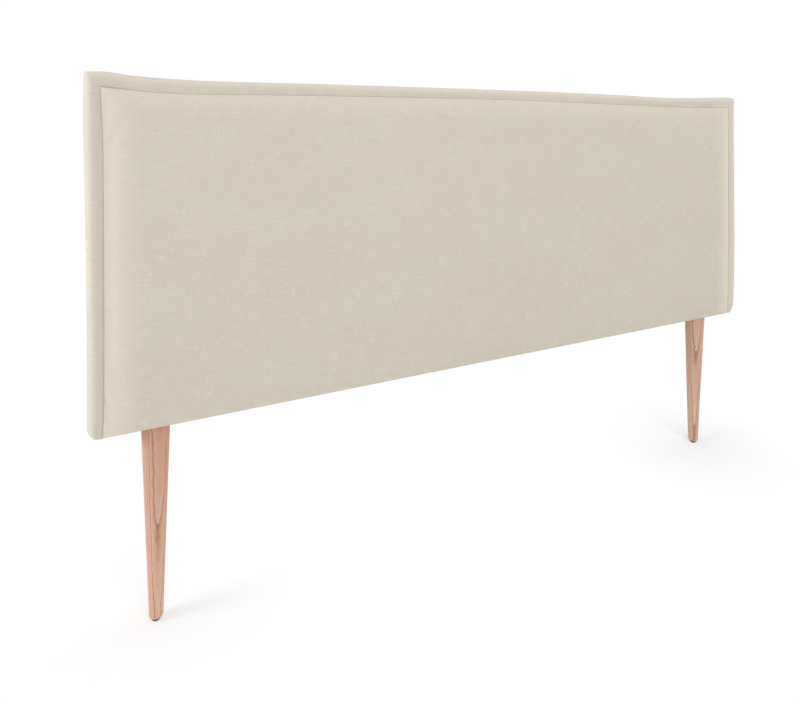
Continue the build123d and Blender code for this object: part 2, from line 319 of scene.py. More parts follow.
def roll_front(z, radius, surface):
    """The depth of the rolled lower edge at a height, or the surface's own depth above it."""
    rise = z - panel_bottom
    if rise >= radius:
        return surface
    return max(surface, front + corner_inset(rise, radius))


def border_painted_tone(share, x, sizes):
    """The border's painted light: a painted highlight on its outer edge and down the right side, and painted
    shade beside the seam, strongest beside the left seam.
    """
    side_start, side_blend = 0.7, 0.08
    right = min(max((x - side_start) / side_blend, 0), 1)
    left = min(max((-side_start - x) / side_blend, 0), 1)
    # Painted highlight on the outer roll and the right side; painted shade sinking towards the seam.
    pale = sizes.border_painted_highlight * max(right, 1 - 2 * share, 0)
    shade = (sizes.seam_shade * left + 0.04) * min(max((share - 0.5) / 0.2, 0), 1) * (1 - right)
    return pale - shade


def make_border(sizes, material):
    """The border: one strip of cover cloth over foam, up one side, over the top and down the other.

    Its seam is shallower along the top and the right, but not at the left end of the top."""
    shallower = 0.35
    left_end = 50 * MM
    gather_reach, gather_spacing = 5 * MM, 9 * MM
    wave_depth, wave_length = 0.5 * MM, 0.16
    ripple_depth, ripple_length = 0.25 * MM, 0.045
    bulge_depth = 0.6 * MM
    section = border_profile(sizes)
    rings = []
    spots = []
    painted_tones = []
    for (outer_x, outer_z), (seam_x, seam_z), run, side, square in border_stations(sizes):
        width = hypot(seam_x - outer_x, seam_z - outer_z)
        ring = []
        ring_spots = []
        ring_painted_tones = []
        for share, y in section:
            x = outer_x + (seam_x - outer_x) * share
            z = outer_z + (seam_z - outer_z) * share
            on_front = y < front + sizes.groove_depth + 0.5 * MM
            if on_front and share > 0.5 and side >= 0:
                fade = (seam_half - abs(seam_x)) / left_end if side == 0 and seam_x < 0 else 1
                y -= (y - front) * shallower * min(1, max(0, fade))
            near_seam = exp(-(1 - share) * width / gather_reach) if on_front else 0
            pucker = sizes.pucker * near_seam * rough(run / gather_spacing, 3.1, side)
            wave = wave_depth * rough(run / wave_length, share * 1.5, 7.7)
            wave += ripple_depth * rough(run / ripple_length, share, 1.2)
            if on_front:
                y = max(y + pucker + wave * min(1, 4 * (1 - share)), front - 1.5 * MM)
            elif share == 0:
                swell = sin(pi * min(max((y - front) / (hem_back - front), 0), 1))
                bulge = (bulge_depth + wave) * swell * (1 if side else 0.6)
                length = max(width, 1 * MM)
                x -= (seam_x - outer_x) / length * bulge
                z = max(z - (seam_z - outer_z) / length * bulge, panel_bottom)
            y = roll_front(z, sizes.bottom_roll, y)
            # The corner is as round as the photo's on the front, and square behind it, over the frame.
            deep = min(max((y - front - 10 * MM) / (20 * MM), 0), 1)
            x += side * square * deep * deep * (3 - 2 * deep) * (1 - share)
            ring.append((x, y, z))
            # The border's painted highlight and painted shade go into the tone layer.
            ring_painted_tones.append(border_painted_tone(share, outer_x, sizes) if on_front else 0.0)
            back = y - front
            if side:
                ring_spots.append((x + side * back, z))
            else:
                ring_spots.append((x, z + back))
        rings.append(ring)
        spots.append(ring_spots)
        painted_tones.append(ring_painted_tones)
    return loft("border_cover", rings, spots, painted_tones, material)


# Cushion


def edge_swell(distance, reach, squareness):
    """How full a padded edge is at a distance from its seam, from 0 to 1."""
    if distance >= reach:
        return 1.0
    return max(1 - (1 - distance / reach) ** 2, 0) ** squareness


def round_edges(distances, reach, squareness):
    """The fullness near several edges at once."""
    full = 1.0
    for distance in distances:
        full *= edge_swell(distance, reach, squareness)
    return full


def cushion_front(x, z, sizes, share, height_share):
    """The depth of the cushion's face."""
    left = x + seam_side(z, -1)
    right = seam_side(z, 1) - x
    top = seam_line_top(x) - z
    edges = (left, right, top)
    lip = sizes.lip_rise * round_edges(edges, sizes.lip_reach, 0.5)
    shoulder = sizes.shoulder_rise * round_edges(edges, sizes.shoulder_reach, 1.0)
    crown = sizes.crown * (1 - (2 * share - 1) ** 4) * (1 - (2 * height_share - 1) ** 4)
    face = front + sizes.seam_setback - lip - shoulder - crown
    nearest = min(left, right, top)
    along = x if nearest == top else z
    pucker_reach, pucker_spacing = 6 * MM, 9 * MM
    pucker = sizes.pucker * exp(-nearest / pucker_reach) * rough(along / pucker_spacing, 1.7, 0.3)
    dimple_depth, dimple_reach, dimple_spacing = 0.35 * MM, 25 * MM, 35 * MM
    dimple = dimple_depth * exp(-nearest / dimple_reach) * rough(along / dimple_spacing, 9.2, 4.1)
    return face + pucker + dimple


def cushion_edge_painted_highlight(x, z, sizes):
    """The painted highlight along the cushion's shoulder, where its rounded edge turns towards the lamps."""
    edges = (x + seam_side(z, -1), seam_side(z, 1) - x, (seam_line_top(x) - z) / 0.7)
    tone = 0.0
    for distance, strength in zip(edges, (1.0, 1.0, 0.65)):
        rise = max(1 - distance / sizes.shoulder_reach, 0)
        tone = max(tone, strength * rise ** 1.2)
    return sizes.edge_painted_highlight * tone


def cushion_columns():
    """Shares across the cushion, closer together beside the seams."""
    width = 2 * seam_half
    columns = 226
    near = [step * MM / width for step in NEAR_SEAM]
    middle = steps(near[-1] + 6.5 * MM / width, 1 - near[-1], columns)
    return near + middle + [1 - share for share in reversed(near)]


def cushion_section(x_share, sizes):
    """One upright section of the cushion: from the top seam down its face, under and up the hem."""
    across = seam_half * (2 * x_share - 1)
    top = seam_line_top(across)
    height = top - panel_bottom
    rows, side_gap = 80, 0.15 * MM
    drops = [step * MM for step in NEAR_SEAM]
    drops += steps(drops[-1] + 6.5 * MM, height - 24 * MM, rows)
    heights = [top - drop for drop in drops] + [panel_bottom + rise * MM for rise in reversed(NEAR_BOTTOM)]
    seam_depth = front + sizes.seam_setback
    points = [(across, seam_depth + 8 * MM, top), (across, seam_depth + 3 * MM, top)]
    kinds = ["inside", "inside"]
    for z in heights:
        left, right = -seam_side(z, -1), seam_side(z, 1)
        x = left + side_gap + (right - left - 2 * side_gap) * x_share
        face = cushion_front(x, z, sizes, x_share, (z - panel_bottom) / height)
        points.append((x, roll_front(z, sizes.bottom_roll, face), z))
        kinds.append("face")
    left, right = -seam_side(panel_bottom, -1), seam_side(panel_bottom, 1)
    under_x = left + (right - left) * x_share
    for y in steps(front + sizes.bottom_roll, hem_back - 2 * MM, 10)[1:]:
        sag = 0.25 * MM * rough(under_x / 0.09, y / 0.03, 5.5)
        points.append((under_x, y, panel_bottom + max(sag, 0)))
        kinds.append("under")
    # Millimetres in from the hem's back and up: round the lower edge, up the hem and back down inside
    for inward, up in ((2, 0), (0.6, 0.6), (0, 2), (0, 14), (0, 40), (1.2, 40), (1.2, 1.2)):
        points.append((under_x, hem_back - inward * MM, panel_bottom + up * MM))
    points.append((under_x, foam_back, panel_bottom + 1.2 * MM))
    points.append((across, foam_back, panel_bottom + height / 2))
    kinds += ["hem"] * 9
    return points, kinds


def puff(piece, pinned, sizes):
    """Lets air pressure tighten the cover cloth, then holds each point near where it started."""
    scene = bpy.context.scene
    mesh = piece.data
    start = [vert.co.copy() for vert in mesh.vertices]
    group = piece.vertex_groups.new(name="pinned")
    group.add([n for n, held in enumerate(pinned) if held], 1.0, "REPLACE")
    cloth = piece.modifiers.new("Cloth", "CLOTH")
    settings = {
        "quality": 6, "mass": 0.3, "tension_stiffness": 20, "compression_stiffness": 20,
        "shear_stiffness": 8, "bending_stiffness": 1.5, "shrink_min": -0.004,
        "vertex_group_mass": "pinned", "use_pressure": True, "uniform_pressure_force": sizes.pressure,
    }
    for name, value in settings.items():
        setattr(cloth.settings, name, value)
    cloth.settings.effector_weights.gravity = 0
    cloth.collision_settings.use_collision = False
    last_frame = 20
    cloth.point_cache.frame_start = 1
    cloth.point_cache.frame_end = last_frame
    for number in range(1, last_frame + 1):
        scene.frame_set(number)
    graph = bpy.context.evaluated_depsgraph_get()
    shaped = piece.evaluated_get(graph).to_mesh()
    moved = [vert.co.copy() for vert in shaped.vertices]
    piece.evaluated_get(graph).to_mesh_clear()
    piece.modifiers.remove(cloth)
    piece.vertex_groups.remove(group)
    scene.frame_set(1)
    furthest = 0
    for vert, before, after in zip(mesh.vertices, start, moved):
        move = after - before
        furthest = max(furthest, move.length)
        if move.length > sizes.puff_cap:
            move *= sizes.puff_cap / move.length
        vert.co = before + move
    mesh.update()
    print("cushion cloth moved up to", round(furthest * 1000, 2), "mm")


def make_cushion(sizes, material):
    """The centre panel: a foam-filled face sewn to the border, wrapped under to a hem on the back."""
    rings = []
    spots = []
    painted_tones = []
    pinned = []
    for share in cushion_columns():
        points, kinds = cushion_section(share, sizes)
        rings.append(points)
        spots.append([
            (x, z if kind in ("face", "inside") else panel_bottom - (y - front))
            for (x, y, z), kind in zip(points, kinds)
        ])
        at_seam = share in (0, 1)
        faces = [n for n, kind in enumerate(kinds) if kind == "face"]
        for n, kind in enumerate(kinds):
            pinned.append(at_seam or kind != "face" or n < faces[0] + 2 or n > faces[-1] - 6)
        # Painted highlight along the cushion's edges, kept in the tone layer.
        painted_tones.append([
            cushion_edge_painted_highlight(x, z, sizes) if kind == "face" else 0.0 for (x, _, z), kind in zip(points, kinds)
        ])
    cushion = loft("cushion_cover", rings, spots, painted_tones, material)
    puff(cushion, pinned, sizes)
    return cushion


# Seam stitches and staples, laid out by geometry nodes


def line_object(name, points):
    """A run of edges through points, for geometry nodes to follow."""
    mesh = bpy.data.meshes.new(name)
    mesh.from_pydata(points, [(n, n + 1) for n in range(len(points) - 1)], [])
    return new_object(name, mesh)


def tree_node(tree, kind, inputs=None, **settings):
    """Adds a node with its settings, and sets each input to a value or links it to an output."""
    made = tree.nodes.new(kind)
    for name, value in settings.items():
        setattr(made, name, value)
    for name, value in (inputs or {}).items():
        socket = made.inputs[name]
        if isinstance(value, bpy.types.NodeSocket):
            tree.links.new(value, socket)
        else:
            socket.default_value = value
    return made


def repeat_tree(name, sockets):
    """An empty geometry node tree with named inputs for its sizes, and its group input node."""
    tree = bpy.data.node_groups.new(name, "GeometryNodeTree")
    tree.interface.new_socket("Geometry", in_out="INPUT", socket_type="NodeSocketGeometry")
    for label, kind, value in sockets:
        made = tree.interface.new_socket(label, in_out="INPUT", socket_type=kind)
        made.default_value = value
    tree.interface.new_socket("Geometry", in_out="OUTPUT", socket_type="NodeSocketGeometry")
    return tree, tree.nodes.new("NodeGroupInput")


def spaced_points(tree, given):
    """Points one pitch apart along the given line, and the line's direction at them."""
    curve = tree_node(tree, "GeometryNodeMeshToCurve", {"Mesh": given.outputs["Geometry"]})
    spaced = tree_node(
        tree, "GeometryNodeResampleCurve",
        {"Curve": curve.outputs[0], "Length": given.outputs["Pitch"]}, mode="LENGTH",
    )
    return spaced.outputs[0], tree_node(tree, "GeometryNodeInputTangent").outputs[0]


def close_tree(tree, points, bar, turn, material, scale=(1, 1, 1)):
    """Ends a tree with a bar at each point, as real, finished geometry."""
    placed = tree_node(
        tree, "GeometryNodeInstanceOnPoints",
        {
            "Points": points, "Instance": bar.outputs["Mesh"], "Rotation": turn.outputs[0], "Scale": scale,
        },
    )
    real = tree_node(tree, "GeometryNodeRealizeInstances", {"Geometry": placed.outputs[0]})
    dressed = tree_node(
        tree, "GeometryNodeSetMaterial", {"Geometry": real.outputs[0], "Material": material}
    )
    tree_node(tree, "NodeGroupOutput", {"Geometry": dressed.outputs[0]})


def stitch_tree(material):
    """Stitches along a line: short rounded bars of thread, one to each pitch."""
    tree, given = repeat_tree("Seam stitches", [
        ("Pitch", "NodeSocketFloat", 3.5 * MM),
        ("Length", "NodeSocketFloat", 2.3 * MM),
        ("Thread radius", "NodeSocketFloat", 0.35 * MM),
        ("Seed", "NodeSocketInt", 4),
    ])
    spaced, tangent = spaced_points(tree, given)
    bar = tree_node(
        tree, "GeometryNodeMeshCylinder",
        {"Vertices": 6, "Radius": given.outputs["Thread radius"], "Depth": given.outputs["Length"]},
        fill_type="TRIANGLE_FAN",
    )
    turn = tree_node(tree, "FunctionNodeAlignRotationToVector", {"Vector": tangent}, axis="Z")
    size = tree_node(
        tree, "FunctionNodeRandomValue", {2: 0.85, 3: 1.1, "Seed": given.outputs["Seed"]},
        data_type="FLOAT",
    )
    close_tree(tree, spaced, bar, turn, material, size.outputs[1])
    return tree


def staple_tree(material):
    """Staples along a line on the back: a flat bar that lies along the line at each pitch."""
    tree, given = repeat_tree("Staples", [
        ("Pitch", "NodeSocketFloat", 42 * MM),
        ("Crown", "NodeSocketFloat", 11 * MM),
        ("Wire width", "NodeSocketFloat", 1.2 * MM),
        ("Wire thickness", "NodeSocketFloat", 0.6 * MM),
        ("Seed", "NodeSocketInt", 9),
    ])
    spaced, tangent = spaced_points(tree, given)
    most_lean = 0.14
    sides = {"X": "Crown", "Y": "Wire thickness", "Z": "Wire width"}
    size = tree_node(
        tree, "ShaderNodeCombineXYZ", {side: given.outputs[name] for side, name in sides.items()}
    )
    bar = tree_node(tree, "GeometryNodeMeshCube", {"Size": size.outputs[0]})
    along = tree_node(
        tree, "FunctionNodeAlignRotationToVector", {"Vector": tangent}, axis="X", pivot_axis="Y"
    )
    lean = tree_node(
        tree, "FunctionNodeRandomValue",
        {0: (0.0, -most_lean, 0.0), 1: (0.0, most_lean, 0.0), "Seed": given.outputs["Seed"]},
        data_type="FLOAT_VECTOR",
    )
    turn = tree_node(
        tree, "FunctionNodeRotateRotation",
        {"Rotation": along.outputs[0], "Rotate By": lean.outputs[0]}, rotation_space="GLOBAL",
    )
    close_tree(tree, spaced, bar, turn, material)
    return tree


def grow(line, tree, sizes, name):
    """Runs a tree on a line with its named sizes and keeps the result as a plain mesh."""
    modifier = line.modifiers.new("Repeat", "NODES")
    modifier.node_group = tree
    for item in tree.interface.items_tree:
        if item.in_out == "INPUT" and item.name in sizes:
            modifier[item.identifier] = sizes[item.name]
    graph = bpy.context.evaluated_depsgraph_get()
    mesh = bpy.data.meshes.new_from_object(line.evaluated_get(graph))
    mesh.name = name
    bpy.data.objects.remove(line)
    return new_object(name, mesh)


def seam_points(depth):
    """Points along the seam, up the left, over the top and down the right."""

    def upright(side):
        """Points up one side, from where the lower edge has rolled back."""
        heights = steps(panel_bottom + 7 * MM, seam_line_top(side * seam_half) - 2 * MM, 150)
        return [(side * seam_side(z, side), depth, z) for z in heights]

    top = [(x, depth, seam_line_top(x)) for x in steps(-seam_half, seam_half, 380)]
    return upright(-1) + top + upright(1)[::-1]


# Back cloth


def make_back_cloth(sizes, material):
    """The thin cloth stapled over the back, with its edges turned in."""
    low_x, high_x, low_z, high_z = dust_low.x, dust_high.x, dust_low.z, dust_high.z
    columns, rows = 130, 50
    crease_width, crease_height = 190 * MM, 130 * MM
    pull_spacing, pull_reach = 42 * MM, 60 * MM
    bm = bmesh.new()
    uv_layer = bm.loops.layers.uv.new("cloth")
    layers = []
    for outside in (True, False):
        grid = []
        for row in range(rows + 1):
            z = low_z + (high_z - low_z) * row / rows
            line = []
            for column in range(columns + 1):
                x = low_x + (high_x - low_x) * column / columns
                inset = min(x - low_x, high_x - x, z - low_z, high_z - z)
                slack = min(1, inset / (50 * MM))
                along = x if min(z - low_z, high_z - z) < min(x - low_x, high_x - x) else z
                crease = sizes.back_crease * rough(x / crease_width, z / crease_height, 2.2) * slack
                pull = 0.5 * sizes.back_crease * rough(along / pull_spacing, 6.1) * exp(-inset / pull_reach)
                depth = dust_high.y + max(crease + pull, -0.2 * MM)
                if not outside:
                    depth -= dust_high.y - dust_low.y
                line.append(bm.verts.new((x, depth, z)))
            grid.append(line)
        layers.append(grid)
    for grid, turned in zip(layers, (False, True)):
        for below, above in zip(grid, grid[1:]):
            for n in range(columns):
                quad = (below[n], below[n + 1], above[n + 1], above[n])
                bm.faces.new(quad if turned else tuple(reversed(quad)))
    outer, inner = layers
    rims = [
        (outer[0], inner[0]), (outer[-1], inner[-1]),
        ([row[0] for row in outer], [row[0] for row in inner]),
        ([row[-1] for row in outer], [row[-1] for row in inner]),
    ]
    for near, far in rims:
        for n in range(len(near) - 1):
            bm.faces.new((near[n], near[n + 1], far[n + 1], far[n]))
    bmesh.ops.recalc_face_normals(bm, faces=bm.faces)
    for face in bm.faces:
        for corner in face.loops:
            corner[uv_layer].uv = (corner.vert.co.x, corner.vert.co.z)
    return finished_mesh("back_cloth", bm, material)


# Legs


def make_leg(name, node, sizes, material):
    """A turned leg with a rounded foot and a slightly eased top edge."""
    low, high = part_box(node)
    middle = (low + high) / 2
    height = high.z - low.z
    top_radius = (high.x - low.x) / 2
    foot_radius = sizes.leg_foot_radius
    bevel, bevel_rise = sizes.leg_foot_bevel, sizes.leg_foot_bevel * 1.15
    easing, top_easing, cap_radius = 0.6 * MM, 1 * MM, 3 * MM
    bevel_bands, taper_bands, around = 5, 40, 72
    profile = [(cap_radius, 0.0), (foot_radius - bevel, 0.0)]
    for n in range(1, bevel_bands):
        share = n / bevel_bands
        eased = easing * sin(pi * share)
        profile.append((foot_radius - bevel * (1 - share) + eased, bevel_rise * share - eased / 2))
    for n in range(taper_bands):
        rise = bevel_rise + (height - bevel_rise - top_easing) * n / (taper_bands - 1)
        profile.append((foot_radius + (top_radius - foot_radius) * rise / height, rise))
    profile += [
        (top_radius - 0.3 * top_easing, height - 0.3 * top_easing),
        (top_radius - top_easing, height), (cap_radius, height),
    ]
    bm = bmesh.new()
    rings = []
    for radius, rise in profile:
        ring = []
        for n in range(around):
            turn = n / around * 2 * pi
            place = (middle.x + radius * cos(turn), middle.y + radius * sin(turn), low.z + rise)
            ring.append(bm.verts.new(place))
        rings.append(ring)
    skin_rings(bm, rings)
    return finished_mesh(name, bm, material)


# Materials


def linear(colour_hex):
    """An sRGB hex colour as linear red, green, blue and alpha."""
    channels = [int(colour_hex[n:n + 2], 16) / 255 for n in (1, 3, 5)]
    return tuple(c / 12.92 if c <= 0.04045 else ((c + 0.055) / 1.055) ** 2.4 for c in channels) + (1.0,)


def new_material(name, **uniform):
    """A material whose shader has these uniform values; returns it, its tree and its shader."""
    material = bpy.data.materials.new(name)
    material.use_nodes = True
    tree = material.node_tree
    shader = tree.nodes["Principled BSDF"]
    for label, value in uniform.items():
        shader.inputs[label.replace("_", " ")].default_value = value
    return material, tree, shader


def stretched_noise(tree, coordinates, scales, detail=2.0, rough_share=0.5, offset=(0, 0, 0)):
    """Noise whose features are as long along each axis as scales says, in metres."""
    mapped = tree_node(
        tree, "ShaderNodeMapping",
        {"Vector": coordinates, "Scale": [1 / size for size in scales], "Location": offset},
    )
    return tree_node(
        tree, "ShaderNodeTexNoise",
        {"Vector": mapped.outputs[0], "Scale": 1.0, "Detail": detail, "Roughness": rough_share},
    ).outputs["Fac"]


def cloth_place(tree):
    """The place on the cloth, in metres."""
    return tree_node(tree, "ShaderNodeUVMap", uv_map="cloth").outputs[0]


def cloth_noise(tree, across, up, detail=1.0, rough_share=0.5, offset=(0, 0)):
    """Noise on the cloth whose features are this many millimetres across and up."""
    scales = (across * MM, up * MM, 1)
    return stretched_noise(tree, cloth_place(tree), scales, detail, rough_share, (*offset, 0))


def spread(tree, value, low, high, to_low=0.0, to_high=1.0):
    """A value stretched from one range to another and held there."""
    return tree_node(
        tree, "ShaderNodeMapRange",
        {"Value": value, "From Min": low, "From Max": high, "To Min": to_low, "To Max": to_high},
    ).outputs[0]


def blend(tree, share, first, second, kind="MIX"):
    """Two colours blended by a share."""
    given = {0: share, 6: first, 7: second}
    return tree_node(tree, "ShaderNodeMix", given, data_type="RGBA", blend_type=kind).outputs[2]


def arithmetic(tree, operation, first, second, third=0.0):
    """One sum on numbers, of sockets or values."""
    given = {0: first, 1: second, 2: third}
    return tree_node(tree, "ShaderNodeMath", given, operation=operation).outputs[0]


def times(tree, first, second):
    """The product of two numbers."""
    return arithmetic(tree, "MULTIPLY", first, second)


def vectors(tree, operation, first, second=(0, 0, 0), scale=1.0):
    """The node for one sum on vectors."""
    given = {0: first, 1: second, 3: scale}
    return tree_node(tree, "ShaderNodeVectorMath", given, operation=operation)


def whereabouts(tree):
    """The place of the point that is shaded, in metres."""
    return tree_node(tree, "ShaderNodeTexCoord").outputs["Object"]


def connect(tree, shader, colour, gloss=None, relief=None, distance=0):
    """Gives a shader its colour, roughness and relief: relief from 0 to 1 stands for this distance."""
    tree.links.new(colour, shader.inputs["Base Color"])
    if gloss:
        tree.links.new(gloss, shader.inputs["Roughness"])
    if relief:
        given = {"Height": relief, "Distance": distance, "Strength": 1.0}
        tree.links.new(tree_node(tree, "ShaderNodeBump", given).outputs[0], shader.inputs["Normal"])


def flecked_material(name, grain, detail, colours, contrast=(0, 1), gloss=None, relief=0, **uniform):
    """A material whose colour follows one noise, and with it its roughness and relief where given."""
    material, tree, shader = new_material(name, **uniform)
    fleck = stretched_noise(tree, whereabouts(tree), grain, *detail)
    colour = blend(tree, spread(tree, fleck, *contrast), linear(colours[0]), linear(colours[1]))
    shine = spread(tree, fleck, 0.3, 0.7, *gloss) if gloss else None
    connect(tree, shader, colour, shine, fleck if relief else None, relief)
    return material


def linen_look_material(sizes):
    """Plain-woven linen-look polyester: matt, with weft slubs that run across the panel."""
    material, tree, shader = new_material(
        "Linen-look cover cloth", Roughness=0.9, Sheen_Weight=0.12, Sheen_Roughness=0.5,
        Specular_IOR_Level=0.25,
    )
    # Weft slubs are 20 to 60 mm long and 1 to 2 mm thick, warp slubs shorter and rarer.
    weft = cloth_noise(tree, 26, 1.7)
    weft_fine = cloth_noise(tree, 11, 1.2, 2.0, 0.6, (3.1, 8.2))
    warp = cloth_noise(tree, 1.7, 20, offset=(7.3, 1.9))
    clusters = cloth_noise(tree, 55, 30, 2.0, offset=(4.4, 3.3))
    gathered = spread(tree, clusters, 0.38, 0.62, 0.25, 1.0)
    patches = cloth_noise(tree, 260, 110, 2.0, offset=(1.3, 2.9))
    fine = spread(tree, weft_fine, 0.3, 0.7, -1.0, 1.0)
    colour = blend(
        tree, spread(tree, patches, 0.3, 0.7), linear(sizes.cloth_shade), linear(sizes.cloth_colour)
    )
    layers = (
        (weft, (0.57, 0.7), 0.54, sizes.slub_pale), (weft, (0.45, 0.28), 0.23, sizes.slub_dark),
        (warp, (0.61, 0.72), 0.54, sizes.slub_pale), (warp, (0.42, 0.26), 0.16, sizes.slub_dark),
    )
    for thread, contrast, strength, tint in layers:
        share = times(tree, times(tree, spread(tree, thread, *contrast), gathered), strength)
        colour = blend(tree, share, colour, linear(tint))
    # Painted light: the tone layer blends in the painted highlight colour above 0 and the painted shade
    # colour below 0.
    tone = tree_node(tree, "ShaderNodeAttribute", attribute_name="tone").outputs["Fac"]
    for full, tint in ((1.0, sizes.painted_highlight_colour), (-1.0, sizes.painted_shade_colour)):
        colour = blend(tree, spread(tree, tone, 0.0, full), colour, linear(tint))
    grain = arithmetic(tree, "MULTIPLY_ADD", fine, 0.018, 1.0)
    colour = vectors(tree, "SCALE", colour, scale=grain).outputs[0]
    # The real thread spacing of 0.6 mm is too fine to show, so the bump weave is 1.4 mm.
    threads = cloth_noise(tree, 4.5, 1.4, offset=(5.5, 0.4))
    cross = cloth_noise(tree, 1.4, 4.5, offset=(0.7, 6.6))
    relief = arithmetic(tree, "ADD", arithmetic(tree, "ADD", threads, cross), weft)
    connect(tree, shader, colour, relief=relief, distance=0.16 * MM)
    return material


def back_cloth_material():
    """Black spun-bonded polypropylene: thin, matt and faintly pocked by its bonding points."""
    material, tree, shader = new_material("Spun-bonded dust cloth", Roughness=0.85, Specular_IOR_Level=0.3)
    point_spacing = 2.2 * MM
    cells = tree_node(
        tree, "ShaderNodeTexVoronoi", {"Vector": cloth_place(tree), "Scale": 1 / point_spacing}
    ).outputs["Distance"]
    fibres = cloth_noise(tree, 9, 2, 3.0, 0.6)
    bonded = spread(tree, cells, 0.0, 0.5)
    tone = times(tree, bonded, spread(tree, fibres, 0.3, 0.7, 0.5, 1.0))
    colour = blend(tree, tone, linear("#1c1c1e"), linear("#333336"))
    connect(tree, shader, colour, relief=cells, distance=0.12 * MM)
    return material


def thread_material(sizes):
    """Spun polyester sewing thread, close to the cloth's own colour."""
    return flecked_material(
        "Polyester thread", (0.8 * MM, 0.8 * MM, 0.8 * MM), (1.0, 0.5),
        (sizes.thread_dark, sizes.thread_pale), Roughness=0.7,
    )


def growth_rings(tree, place, spacing, distortion, **shape):
    """Rings or bands this far apart. A wave texture of scale 1 has them 0.1 pi apart."""
    given = {
        "Vector": place, "Scale": 0.1 * pi / spacing, "Distortion": distortion,
        "Detail": 2.0, "Detail Scale": 0.6,
    }
    return tree_node(tree, "ShaderNodeTexWave", given, **shape).outputs["Fac"]


def leg_wood_material(sizes, name, heart, lean, top):
    """Turned beech under a satin lacquer: pinkish tan, with flames where the taper cuts the rings.

    heart is where the middle of the tree stood, beside the leg, lean how far it leans in radians, and top
    the colour of the painted shade that darkens the leg towards its top, where the panel shades it."""
    material, tree, shader = new_material(
        name, Specular_IOR_Level=0.4, Coat_Weight=0.08, Coat_Roughness=0.35
    )
    place = whereabouts(tree)
    # The rings wander slowly, over 70 mm across the trunk and 240 mm along it.
    bends = tree_node(
        tree, "ShaderNodeMapping",
        {"Vector": place, "Scale": (1 / (70 * MM), 1 / (70 * MM), 1 / (240 * MM))},
    ).outputs[0]
    warp = tree_node(
        tree, "ShaderNodeTexNoise", {"Vector": bends, "Scale": 1.0, "Detail": 2.0}
    ).outputs["Color"]
    shift = vectors(tree, "SCALE", warp, scale=sizes.ring_wander).outputs[0]
    bent = vectors(tree, "ADD", place, shift).outputs[0]
    centred = vectors(tree, "SUBTRACT", bent, (*heart, 0)).outputs[0]
    turned = tree_node(tree, "ShaderNodeMapping", {"Vector": centred, "Rotation": (*lean, 0)}).outputs[0]
    rings = growth_rings(
        tree, turned, sizes.ring_spacing, 1.6, wave_type="RINGS", rings_direction="Z", wave_profile="SAW"
    )
    streaks = stretched_noise(tree, bent, (2.2 * MM, 2.2 * MM, 120 * MM), 2.0, 0.6)
    pores = stretched_noise(tree, bent, (0.8 * MM, 0.8 * MM, 12 * MM), 2.0, 0.6)
    late = tree_node(tree, "ShaderNodeValToRGB", {"Fac": rings})
    stops = late.color_ramp.elements
    stops.new(0.7)
    for stop, tint in zip(stops, (sizes.wood_pale, sizes.wood_colour, sizes.wood_dark)):
        stop.color = linear(tint)
    height = tree_node(tree, "ShaderNodeSeparateXYZ", {0: place}).outputs["Z"]
    lower = spread(tree, height, 0.15, 0.36, 1.0, 0.2)
    fade = times(tree, spread(tree, streaks, 0.35, 0.65, 0.0, 0.6), lower)
    faded = blend(tree, fade, late.outputs["Color"], linear(sizes.wood_colour))
    tone = blend(tree, spread(tree, pores, 0.55, 0.75, 0.0, 0.4), faded, linear(sizes.wood_dark))
    # Painted shade: the wood is multiplied darker towards the leg's top, where the panel shades it; the
    # right leg's is paler, painted light that evens it with the left.
    painted_top_shade = blend(tree, spread(tree, height, 0.0, 0.36), linear("#ffffff"), linear(top))
    shaded_wood = blend(tree, 1.0, tone, painted_top_shade, "MULTIPLY")
    gloss = spread(tree, pores, 0.3, 0.7, 0.42, 0.6)
    connect(tree, shader, shaded_wood, gloss, arithmetic(tree, "SUBTRACT", rings, pores), 0.06 * MM)
    return material


def pine_material():
    """Planed pine batten: yellow-white early wood with narrow amber late wood."""
    material, tree, shader = new_material("Planed pine", Roughness=0.62)
    place = whereabouts(tree)
    grain = stretched_noise(tree, place, (160 * MM, 5 * MM, 160 * MM), 3.0, 0.6)
    rings = growth_rings(tree, place, 5.236 * MM, 3.0, wave_type="BANDS", bands_direction="Y")
    tone = times(tree, rings, grain)
    colour = blend(tree, spread(tree, tone, 0.2, 0.5), linear("#e6cc9a"), linear("#c79a5c"))
    connect(tree, shader, colour, relief=tone, distance=0.1 * MM)
    return material


def hardboard_material():
    """Pressed wood-fibre board: brown, matt and flecked with fibres."""
    return flecked_material(
        "Hardboard", (4 * MM, 4 * MM, 1.5 * MM), (4.0, 0.7), ("#6b4a33", "#8f6a49"),
        contrast=(0.35, 0.65), relief=0.1 * MM, Roughness=0.7,
    )


def zinc_material():
    """Zinc-plated steel: pale grey metal with a soft, slightly uneven shine. Made once."""
    return bpy.data.materials.get("Zinc-plated steel") or flecked_material(
        "Zinc-plated steel", (3 * MM, 3 * MM, 3 * MM), (3.0, 0.6), ("#a9abae", "#cfd1d2"),
        gloss=(0.25, 0.45), Metallic=1.0,
    )


def glide_material():
    """Moulded polyethylene glide: dark reddish brown, waxy, with fine scuffs."""
    return flecked_material(
        "Polyethylene glide", (1.5 * MM, 1.5 * MM, 0.4 * MM), (3.0, 0.6), ("#4a2a20", "#643a2c"),
        gloss=(0.35, 0.6), IOR=1.5,
    )


def seen_directly(tree):
    """1 for what the camera sees by itself, in a reflection or through glass, else 0."""
    rays = tree_node(tree, "ShaderNodeLightPath")
    seen = arithmetic(tree, "MAXIMUM", rays.outputs["Is Camera Ray"], rays.outputs["Is Glossy Ray"])
    return arithmetic(tree, "MAXIMUM", seen, rays.outputs["Is Transmission Ray"])


